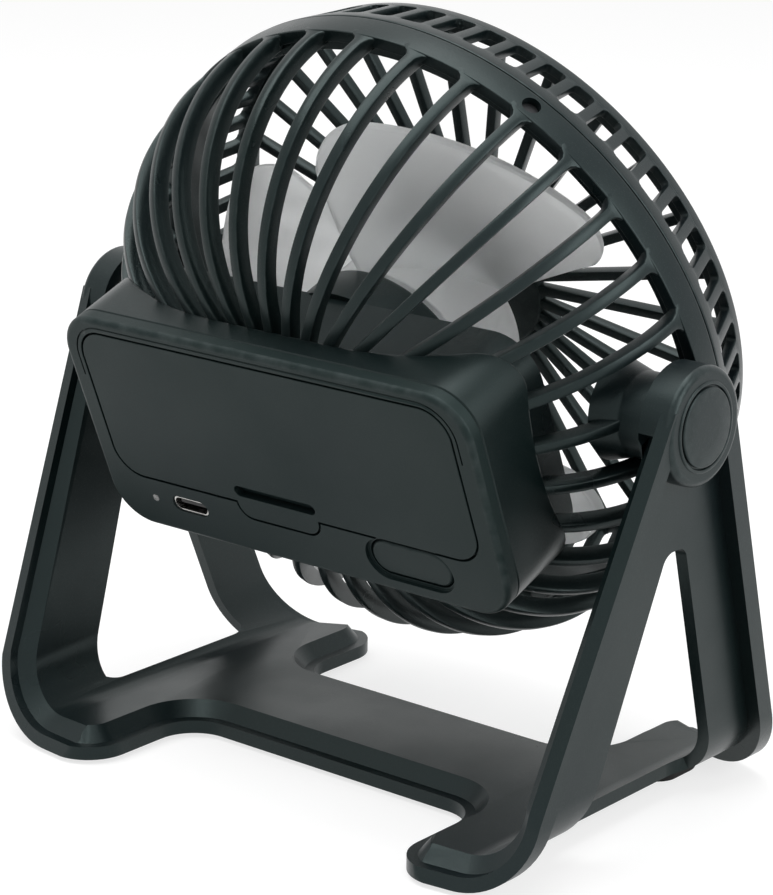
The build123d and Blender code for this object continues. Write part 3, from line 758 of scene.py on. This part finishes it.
teal_gloss = {"Specular Tint": (0.80, 1.0, 0.985, 1)}
finishes = {
    "black_plastic": plastic("satin_black_plastic", (0.0022, 0.0056, 0.0056), (0.0034, 0.0062, 0.0076), (0.26, 0.40),
                             specular=0.31, tone=14.0, dust=(900.0, 0.06), **teal_gloss),
    "cover_plastic": plastic("matte_cover_plastic", (0.0030, 0.0082, 0.0078), (0.0040, 0.0080, 0.0092), (0.42, 0.52),
                             specular=0.25, grain=(3400.0, 0.7, 0.025), tone=14.0, dust=(700.0, 0.05), **teal_gloss),
    "badge_plastic": plastic("gloss_badge_plastic", (0.004, 0.005, 0.006), (0.006, 0.007, 0.008), (0.14, 0.24),
                             grain=(1500.0, 0.2, 0.004)),
    "smoky_plastic": plastic("frosted_smoky_plastic", (0.94, 0.955, 0.955), (0.96, 0.97, 0.97), (0.44, 0.54),
                             specular=0.4, grain=(1800.0, 0.4, 0.02), edge=0.5, edge_wear_and_sheen_colour=(0.42, 0.44, 0.45),
                             tone=40.0, dust=(600.0, 0.03), **{"Transmission Weight": 0.76, "IOR": 1.40}),
    "pad_rubber": plastic("pad_rubber", (0.006, 0.006, 0.006), (0.010, 0.010, 0.010), (0.70, 0.85), specular=0.3,
                          grain=(1400.0, 0.9, 0.05), dust=(700.0, 0.4)),
    "steel": metal("zinc_plated_steel", (0.52, 0.53, 0.55), (0.62, 0.63, 0.64), (0.24, 0.38)),
    "black_steel": metal("blackened_steel", (0.030, 0.031, 0.033), (0.045, 0.046, 0.048), (0.34, 0.48)),
    "socket_metal": metal("nickel_socket_shell", (0.62, 0.61, 0.59), (0.72, 0.71, 0.69), (0.16, 0.28)),
    "copper": metal("wound_copper", (0.62, 0.27, 0.13), (0.74, 0.36, 0.20), (0.28, 0.42), brushed=1900.0),
    "bronze": metal("sintered_bronze", (0.45, 0.29, 0.12), (0.55, 0.37, 0.18), (0.38, 0.52), brushed=1500.0),
    "magnet": plastic("ferrite_magnet", (0.020, 0.020, 0.021), (0.032, 0.031, 0.031), (0.55, 0.7)),
    "cell_sleeve": plastic("cell_sleeve", (0.02, 0.12, 0.30), (0.03, 0.15, 0.36), (0.22, 0.34),
                           grain=(900.0, 0.2, 0.01)),
    "tray_plastic": plastic("tray_plastic", (0.020, 0.021, 0.022), (0.030, 0.031, 0.032), (0.45, 0.6)),
    "board_laminate": plastic("green_board_laminate", (0.010, 0.09, 0.035), (0.015, 0.12, 0.05), (0.28, 0.42),
                              grain=(1200.0, 0.6, 0.02), edge_wear_and_sheen_colour=(0.45, 0.38, 0.2)),
    "switch_plastic": plastic("switch_plastic", (0.012, 0.012, 0.013), (0.018, 0.018, 0.019), (0.4, 0.55)),
    "clear_plastic": plastic("clear_light_pipe", (0.72, 0.73, 0.72), (0.80, 0.81, 0.80), (0.10, 0.2),
                             grain=(1500.0, 0.2, 0.003), **{"Transmission Weight": 0.8, "IOR": 1.49}),
    "washer_nylon": plastic("washer_nylon", (0.58, 0.57, 0.53), (0.66, 0.65, 0.61), (0.42, 0.56)),
}


# Rear cage
def cage_ring():
    inner = ring_radius - ring_wall
    ring = turned("cage_ring", [
        (inner, seam_y, 0.0), (ring_radius, seam_y, seam_bevel), (ring_radius, window_y, ring_round),
        (inner, window_y, ring_round)], ring_facets)
    middle = seam_y + ring_width / 2
    holes = []
    for index in ring_screw_ribs:
        hole = plug("hole", ring_screw_head, ring_screw_hole, hole_facets, "X")
        turn = Matrix.Rotation(around(rib_first_angle + index * 360 / rib_count), 4, "Y")
        hole.data.transform(turn @ Matrix.Translation((0, middle, 0)))
        holes.append(hole)
    return cut(ring, holes)


def cage_ribs():
    empty = to_object("cage_ribs", bmesh.new())
    return grow(empty, rib_tree(), {
        "Count": rib_count, "First Angle": around(rib_first_angle), "Step": tau / rib_count, "Lean": rib_lean,
        "Ring Radius": ring_radius, "Ring Wall": ring_wall, "Dome Radius": dome_radius, "Dome Centre": dome_centre,
        "Window Level": window_y, "Root": rib_root, "Foot": rib_foot, "Width": rib_width, "Depth": rib_depth,
        "Edge Round": rib_round, "Corner": window_corner,
        "Box Half Width": housing_width / 2 - shelf_step - housing_wall / 2,
        "Box Half Height": (housing_height - shelf_step - housing_wall) / 2,
        "Box Middle": -housing_drop - shelf_step / 2, "Box Corner": housing_corner - housing_wall / 2,
        "Box Front": floor_front, "Finish": finishes["black_plastic"]})


def dome_level(point):
    level = window_y - shelf_lip
    past = max(point.length - dome_centre, 0.0)
    return level + sqrt(max(dome_radius ** 2 - past ** 2, 0.0))


def box_outline(inset=0.0):
    return rounded_rectangle(housing_width - 2 * (shelf_step + inset), housing_height - shelf_step - 2 * inset,
                             housing_corner - inset, -housing_drop - shelf_step / 2)


def housing_outline(inset=0.0):
    return rounded_rectangle(housing_width - 2 * inset, housing_height - 2 * inset,
                             housing_corner - inset, -housing_drop)


def housing_shell():
    box = box_outline()
    rim = housing_outline()
    unit = [(a - b).normalized() for a, b in zip(rim, housing_outline(1 * mm))]
    gap = [max((a - b).dot(n), 0.0) for a, b, n in zip(rim, box, unit)]
    soft = [min(shelf_round, shelf_round_share * g) for g in gap]
    edge = [a - n * r for a, n, r in zip(rim, unit, soft)]

    def level(points, y):
        return [(p.x, y, p.y) for p in points]

    def on_dome(points):
        return [(p.x, dome_level(p), p.y) for p in points]

    loops = [level(box, floor_front), on_dome(box)]
    for share in shelf_shares:
        loops.append(on_dome([a.lerp(b, share) for a, b in zip(box, edge)]))
    for step in range(1, shelf_round_steps + 1):
        t = step / shelf_round_steps
        loop = []
        for a, b, r in zip(edge, rim, soft):
            start = Vector((a.x, dome_level(a), a.y))
            corner = Vector((b.x, dome_level(b), b.y))
            stop = corner + Vector((0, r, 0))
            loop.append(start.lerp(corner, t).lerp(corner.lerp(stop, t), t))
        loops.append(loop)
    loops.append(level(rim, cover_seam_y - seam_bevel))
    loops.append(level(housing_outline(seam_bevel), cover_seam_y))
    hollow = box_outline(housing_wall)
    loops.append(level(hollow, cover_seam_y))
    loops.append(level(hollow, floor_rear))
    shell = loft("battery_housing", loops)
    return cut(shell, [plug("well", drum_radius - drum_wall, well_cut, well_facets)])


def motor_drum():
    well = drum_radius - drum_wall
    floor = drum_front_y + drum_wall
    foot = drum_radius + drum_foot_reach
    sunk = floor_front + drum_foot_sink
    return turned("motor_drum", [
        (bearing_hole, drum_front_y, bearing_hole_round), (drum_radius, drum_front_y, drum_round),
        (drum_radius, floor_front - drum_foot_height, 0.0), (foot, floor_front, 0.0), (foot, sunk, 0.0),
        (well, sunk, 0.0), (well, floor, 0.0), (bearing_hole, floor, 0.0)], drum_facets)


def housing_posts():
    posts = []
    for x, z, radius, rear in post_places:
        post = turned("post", [
            (post_hole, floor_rear, 0.0), (radius + post_foot, floor_rear, 0.0),
            (radius, floor_rear + post_foot_height, 0.0), (radius, rear, post_round), (post_hole, rear, 0.0)],
            post_facets)
        post.data.transform(Matrix.Translation((x, 0, z)))
        posts.append(post)
    return join("housing_posts", posts)


def trunnions():
    pair = []
    foot_end = ring_radius - ring_wall - trunnion_foot_back
    screw_end = pin_end - pivot_screw_depth
    for side in (1, -1):
        pin = turned("trunnion", [
            (0.0, trunnion_inner, 0.0), (trunnion_radius + trunnion_foot, trunnion_inner, 0.0),
            (trunnion_radius, foot_end, trunnion_foot_round), (trunnion_radius, trunnion_end, trunnion_round),
            (pin_radius, trunnion_end, pin_round), (pin_radius, pin_end, pin_round),
            (pivot_screw_radius, pin_end, 0.0), (pivot_screw_radius, screw_end, 0.0), (0.0, screw_end, 0.0)],
            pin_facets, "X")
        if side < 0:
            pin.data.transform(half_turn)
        pair.append(pin)
    return join("trunnions", pair)


head_piece(cage_ring(), "black_plastic", ("rear_cage",))
head_piece(cage_ribs(), "black_plastic")
head_piece(housing_shell(), "black_plastic")
head_piece(motor_drum(), "black_plastic")
head_piece(housing_posts(), "black_plastic")
head_piece(trunnions(), "black_plastic")


# Front grille
def grille_outer(y):
    share = (grille_top_y - y) / (grille_top_y - grille_front_y)
    return ring_radius + (grille_front_radius - ring_radius) * share


def grille_rear_band():
    spigot = ring_radius - ring_wall - spigot_gap
    inner = spigot - spigot_wall
    tip = grille_top_y + spigot_length
    shoulder = grille_top_y - grille_wall
    edge = grille_outer(slot_rear_y)
    return turned("grille_rear_band", [
        (inner, tip, spigot_round), (spigot, tip, spigot_lead), (spigot, grille_top_y, 0.0),
        (ring_radius, grille_top_y, seam_bevel), (edge, slot_rear_y, slot_round),
        (edge - grille_wall, slot_rear_y, slot_round), (grille_outer(shoulder) - grille_wall, shoulder, 0.0),
        (inner, shoulder, 0.0)], ring_facets)


def grille_front_rim():
    rim_y = grille_front_y + grille_rim_depth
    inner = grille_front_radius - grille_rim
    edge = grille_outer(slot_front_y)
    return turned("grille_front_rim", [
        (edge, slot_front_y, slot_round), (grille_front_radius, grille_front_y, grille_rim_round),
        (inner, grille_front_y, grille_rim_inner_round), (inner, rim_y, grille_rim_rear_round),
        (grille_outer(rim_y) - grille_wall, rim_y, 0.0), (edge - grille_wall, slot_front_y, slot_round)], ring_facets)


def bar_section(half, depth, soft):
    corners = [(-depth / 2, -half, soft), (depth / 2, -half, soft), (depth / 2, half, soft), (-depth / 2, half, soft)]
    return rounded_outline(corners, bar_round_steps)


def grille_bar():
    middle = (grille_outer(slot_rear_y) + grille_outer(slot_front_y)) / 2
    half = (tau * middle / slot_count - slot_width) / 2
    levels = [slot_rear_y + bar_bury, slot_rear_y]
    levels += [slot_rear_y - slot_corner * t for t in slot_corner_shares]
    levels += [slot_front_y + slot_corner * t for t in reversed(slot_corner_shares)]
    levels += [slot_front_y, slot_front_y - bar_bury]
    loops = []
    for y in levels:
        rise = min(max(min(slot_rear_y - y, y - slot_front_y), 0.0), slot_corner)
        flare = slot_corner - sqrt(max(slot_corner ** 2 - (slot_corner - rise) ** 2, 0.0))
        centre = grille_outer(y) - grille_wall / 2
        loops.append([(centre + a, y, b) for a, b in bar_section(half + flare, grille_wall - bar_thinner, bar_round)])
    return loft("grille_bars", loops)


def grille_spoke():
    stop = grille_front_radius - grille_rim + spoke_bury
    middle = grille_front_y + spoke_depth / 2 + spoke_inset
    loops = []
    for x in (centre_radius - spoke_bury, stop):
        loops.append([(x, middle + a, b) for a, b in bar_section(spoke_width / 2, spoke_depth, spoke_round)])
    return loft("grille_spokes", loops)


def grille_centre():
    rear = grille_front_y + centre_thickness
    return turned("grille_centre", [
        (0.0, grille_front_y, 0.0), (centre_radius, grille_front_y, centre_round),
        (centre_radius, rear, centre_rear_round), (0.0, rear, 0.0)], disc_facets)


def badge():
    face = grille_front_y - badge_thickness
    return turned("centre_badge", [
        (0.0, grille_front_y, 0.0), (badge_radius, grille_front_y, 0.0), (badge_radius, face, badge_round),
        (badge_radius - badge_rim, face, badge_rim_round),
        (badge_radius - badge_field, face + badge_field_drop, badge_field_round),
        (0.0, face + badge_centre_drop, 0.0)], disc_facets)


def copied(shape, count, first, slot):
    return grow(shape, copies, {
        "Count": count, "First Angle": around(first), "Step": tau / count, "Finish": finishes[slot]})


copies = copies_tree()
head_piece(grille_rear_band(), "black_plastic", ("front_grille",))
head_piece(grille_front_rim(), "black_plastic")
head_piece(copied(grille_bar(), slot_count, bar_first_angle, "black_plastic"), "black_plastic")
head_piece(copied(grille_spoke(), spoke_count, spoke_first_angle, "black_plastic"), "black_plastic")
head_piece(grille_centre(), "black_plastic")
head_piece(badge(), "badge_plastic", ("grille_badge",))


# Fan wheel
def fan_hub():
    inner = hub_radius - hub_wall
    boss_rear = (hub_front_y + hub_rear_y) / 2
    front = hub_front_y + hub_wall
    return turned("fan_hub", [
        (0.0, hub_front_y, 0.0), (hub_radius, hub_front_y, hub_round), (hub_radius, hub_rear_y, hub_rim_round),
        (inner, hub_rear_y, hub_rim_round), (inner, front, hub_inner_round), (hub_boss_radius, front, hub_boss_foot),
        (hub_boss_radius, boss_rear, hub_boss_round), (shaft_radius, boss_rear, 0.0), (shaft_radius, front, 0.0),
        (0.0, front, 0.0)], hub_facets)


def blade_pitch(x):
    low, high = hub_radius - hub_wall / 2, blade_radius
    t = (x - low) / (high - low)
    a, b, c = (tan(p) for p in blade_pitches)
    return a * (1 - t) * (1 - 2 * t) + b * 4 * t * (1 - t) + c * t * (2 * t - 1)


def blade_reach(angle):
    arm = blade_radius - blade_corner
    centre = blade_half_span - asin(blade_corner / arm)
    past = max(abs(angle) - centre, 0.0)
    if past <= 0.0:
        return blade_radius
    return arm * cos(past) + sqrt(max(blade_corner ** 2 - (arm * sin(past)) ** 2, 0.0))


def blade_point(radius, angle, lift):
    x, z = radius * cos(angle), radius * sin(angle)
    slope = blade_pitch(x)
    middle = (hub_front_y + hub_rear_y) / 2
    scale = lift / sqrt(1 + slope * slope)
    return (x, middle - z * slope + scale, z + scale * slope)


def fan_blade():
    across, outward = blade_across, blade_outward
    root = hub_radius - hub_wall / 2
    work = bmesh.new()
    sheets = []
    for side in (1, -1):
        rows = []
        for i in range(across + 1):
            angle = blade_half_span * sin((i / across - 0.5) * pi)
            reach = blade_reach(angle)
            row = []
            for k in range(outward + 1):
                radius = root + (reach - root) * (1 - (1 - k / outward) ** blade_crowding)
                rim = min(reach - radius, (blade_half_span - abs(angle)) * radius)
                lip = blade_lip / 2 * (1 - eased(blade_lip_start, blade_lip_end, reach - radius))
                thin = sqrt(max(1 - (1 - min(rim / blade_edge, 1.0)) ** 2, blade_edge_least))
                row.append(work.verts.new(blade_point(radius, angle, side * ((blade_thickness / 2 + lip) * thin))))
            rows.append(row)
        sheets.append(rows)
    for rows in sheets:
        for i in range(across):
            for k in range(outward):
                work.faces.new((rows[i][k], rows[i + 1][k], rows[i + 1][k + 1], rows[i][k + 1]))
    top, under = sheets
    border = [(i, 0) for i in range(across)] + [(across, k) for k in range(outward)]
    border += [(i, outward) for i in range(across, 0, -1)] + [(0, k) for k in range(outward, 0, -1)]
    for (i, k), (p, q) in zip(border, border[1:] + border[:1]):
        work.faces.new((top[i][k], top[p][q], under[p][q], under[i][k]))
    return mesh_object("fan_blades", work)


head_piece(fan_hub(), "smoky_plastic", ("impeller",), "rotor")
blades = copied(fan_blade(), blade_count, blade_first_angle, "smoky_plastic")
head_piece(blades, "smoky_plastic", (), "rotor")


# Pivot caps
def pivot_cap(name, side):
    inner = cap_face - cap_thickness
    disc = cap_radius - cap_rim
    groove = cap_face - cap_groove_depth
    cap = turned(name, [
        (0.0, inner, 0.0), (cap_radius, inner, 0.0), (cap_radius, cap_face - cap_rim_drop, cap_round),
        (disc + cap_groove_top, cap_face - cap_rim_drop, cap_groove_round), (disc + cap_groove_floor, groove, 0.0),
        (disc, groove, 0.0), (disc, cap_face - cap_disc_drop, cap_round),
        (disc * cap_dome_share, cap_face - cap_dome_drop, cap_dome_round), (0.0, cap_face, 0.0)], cap_facets, "X")
    if side < 0:
        cap.data.transform(half_turn)
    return cap


for name, side in (("pivot_cap_left", -1), ("pivot_cap_right", 1)):
    finish_piece(pivot_cap(name + "_domed", side), "stand", "black_plastic", pivot_place, (name,))


# The stand is one folded sheet: its raised panel slopes down to the flange
def sheet_depth(point):
    x, z = abs(point.x), point.z
    reach = arm_outer * cos(arm_lean) - pivot_height * sin(arm_lean)
    centre_z = stand_lift + bend_radius
    centre_x = (reach - bend_radius + centre_z * sin(arm_lean)) / cos(arm_lean)
    across, rise = x - centre_x, z - centre_z
    if across < 0 and rise < 0:
        return z - stand_lift
    if rise * cos(arm_lean) + across * sin(arm_lean) > 0:
        return reach - (x * cos(arm_lean) - z * sin(arm_lean))
    return bend_radius - sqrt(across * across + rise * rise)


def slope_walls(work, width):
    close = 0.06 * mm
    window_turn, same_facing, least_facing, least_normal = 0.1, 0.9998, 0.7, 0.5
    bmesh.ops.triangulate(work, faces=work.faces)
    depths = {vert: sheet_depth(vert.co) for vert in work.verts}
    walls = {}
    for face in work.faces:
        levels = [depths[vert] for vert in face.verts]
        within = flange_thickness - close < min(levels) < stand_depth - close and max(levels) < stand_depth + close
        middle = face.calc_center_median()
        round_window = face.normal.y * middle.y < -window_turn * abs(middle.y)
        sliver = face.normal.length < least_normal
        if not within or round_window or sliver or any(abs(level - panel_under) < close for level in levels):
            continue
        for vert in face.verts:
            facing = walls.setdefault(vert, [])
            if all(face.normal.dot(other) < same_facing for other in facing):
                facing.append(face.normal.copy())
    for vert, facing in walls.items():
        above = depths[vert] - flange_thickness
        if abs(above) > close:
            share = above / (stand_depth - flange_thickness)
            outward = sum(facing, Vector()).normalized()
            vert.co -= outward * (share * width / max(min(outward.dot(normal) for normal in facing), least_facing))
    dissolve_flat(work)


# A fine line round the top and sides of the battery door's opening
def door_line():
    def outline(margin):
        return rounded_rectangle(
            door_width + 2 * margin, door_height + 2 * margin, door_corner + margin, door_raise)

    pairs = list(zip(outline(door_line_out), outline(door_line_out + door_line_width)))
    low = door_raise - door_height / 2 + door_line_stop
    first = next(k for k in range(len(pairs)) if pairs[k][0].y > low and pairs[k - 1][0].y <= low)
    kept = [pair for pair in pairs[first:] + pairs[:first] if pair[0].y > low]
    above, below = housing_rear + door_line_over, housing_rear - door_line_depth
    line = loft("door_line", [
        [(a.x, above, a.y), (b.x, above, b.y), (b.x, below, b.y), (a.x, below, a.y)] for a, b in kept])
    line.data.transform(head_place)
    return line


# Moulded pieces that start from the solid's shape, with softened edges
def soft_piece(node_name, width, body, slot, **changes):
    finish_piece(softened(node_name, width, **changes), body, slot, None, (node_name,))


soft_piece("stand", stand_edge, "stand", "black_plastic", sloped=wall_slope)
soft_piece("foot_pads", pad_edge, "stand", "pad_rubber")
soft_piece("rear_cover", cover_edge, "head", "cover_plastic", grooves=[door_line()])
soft_piece("battery_door", door_edge, "door", "cover_plastic")
soft_piece("power_button", button_edge, "button", "cover_plastic")


# Pieces shown as the solids are
inside_finishes = {
    "ring_screws": "black_steel", "motor_shaft": "steel", "motor_armature": "copper", "motor_magnet": "magnet",
    "motor_can": "steel", "motor_end_cap": "steel", "bearing_front": "bronze", "bearing_rear": "bronze",
    "motor_screws": "steel", "cover_screws": "steel", "battery_cell": "cell_sleeve", "battery_tray": "tray_plastic",
    "battery_contact_positive": "socket_metal", "battery_contact_negative": "socket_metal",
    "circuit_board": "board_laminate", "board_screws": "steel", "charge_socket": "socket_metal",
    "socket_tongue": "switch_plastic", "push_switch": "switch_plastic", "status_led": "clear_plastic",
    "light_pipe": "clear_plastic", "pivot_screws": "steel", "pivot_washers": "steel",
    "friction_washers": "washer_nylon"}
for name, slot in inside_finishes.items():
    for holder in nodes[name].material_slots:
        holder.material = finishes[slot]


# Floor, light and camera
def seen_rays(tree):
    ray = node(tree, "ShaderNodeLightPath").outputs
    mirrored = maths(tree, "MAXIMUM", ray["Is Glossy Ray"], ray["Is Transmission Ray"])
    return maths(tree, "MAXIMUM", ray["Is Camera Ray"], mirrored)


def studio_floor():
    work = bmesh.new()
    bmesh.ops.create_grid(work, x_segments=8, y_segments=8, size=3.0)
    floor = mesh_object("studio_floor", work)
    material = bpy.data.materials.new("pale_floor")
    material.use_nodes = True
    tree = material.node_tree
    tree.nodes.clear()
    paper = node(tree, "ShaderNodeBsdfDiffuse", {"Color": (0.82, 0.82, 0.82, 1)})
    veil = node(tree, "ShaderNodeBsdfDiffuse", {"Color": (0.34, 0.34, 0.34, 1)})
    glow = node(tree, "ShaderNodeEmission", {"Color": (1, 1, 1, 1), "Strength": 0.735})
    seen = node(tree, "ShaderNodeAddShader", {0: veil.outputs[0], 1: glow.outputs[0]})
    mixed = node(tree, "ShaderNodeMixShader", {0: seen_rays(tree), 1: paper.outputs[0], 2: seen.outputs[0]})
    out = tree.nodes.new("ShaderNodeOutputMaterial")
    tree.links.new(mixed.outputs[0], out.inputs["Surface"])
    floor.data.materials.append(material)


def studio_world():
    world = bpy.data.worlds.new("studio")
    scene.world = world
    world.use_nodes = True
    tree = world.node_tree
    back = tree.nodes["Background"]
    strength = node(tree, "ShaderNodeMapRange", {
        "Value": seen_rays(tree), "To Min": 0.45, "To Max": 1.0}).outputs[0]
    back.inputs["Color"].default_value = (1, 1, 1, 1)
    tree.links.new(strength, back.inputs["Strength"])


def soft_light(name, place, aim, size, power):
    data = bpy.data.lights.new(name, "AREA")
    data.shape = "RECTANGLE"
    data.size, data.size_y = size
    data.energy = power
    lamp = link(name, data)
    lamp.location = place
    lamp.rotation_mode = "QUATERNION"
    lamp.rotation_quaternion = (Vector(aim) - Vector(place)).to_track_quat("-Z", "Y")


def photo_camera():
    data = bpy.data.cameras.new("photo_camera")
    camera = link("photo_camera", data)
    place = Vector((-0.367804, 0.452576, 0.234273))
    aim = Vector((-0.000734, 0.004723, 0.064322))
    roll = radians(0.6346)
    back = (place - aim).normalized()
    level = Vector((0, 0, 1)).cross(back).normalized()
    upright = back.cross(level)
    right = level * cos(roll) + upright * sin(roll)
    up = upright * cos(roll) - level * sin(roll)
    turn = Matrix((right, up, back)).transposed()
    camera.matrix_world = Matrix.Translation(place) @ turn.to_4x4()
    data.lens = 125.408
    data.sensor_width = 36.0
    data.clip_start = 0.02
    data.clip_end = 20.0
    scene.camera = camera


studio_floor()
studio_world()
soft_light("top_box", place=(0.05, 0.15, 0.95), aim=(0, 0, 0.06), size=(0.9, 0.9), power=9.0)
soft_light("side_box", place=(-0.95, -0.10, 0.45), aim=(0, 0, 0.07), size=(0.5, 0.8), power=5.0)
photo_camera()
scene.view_settings.view_transform = "Standard"
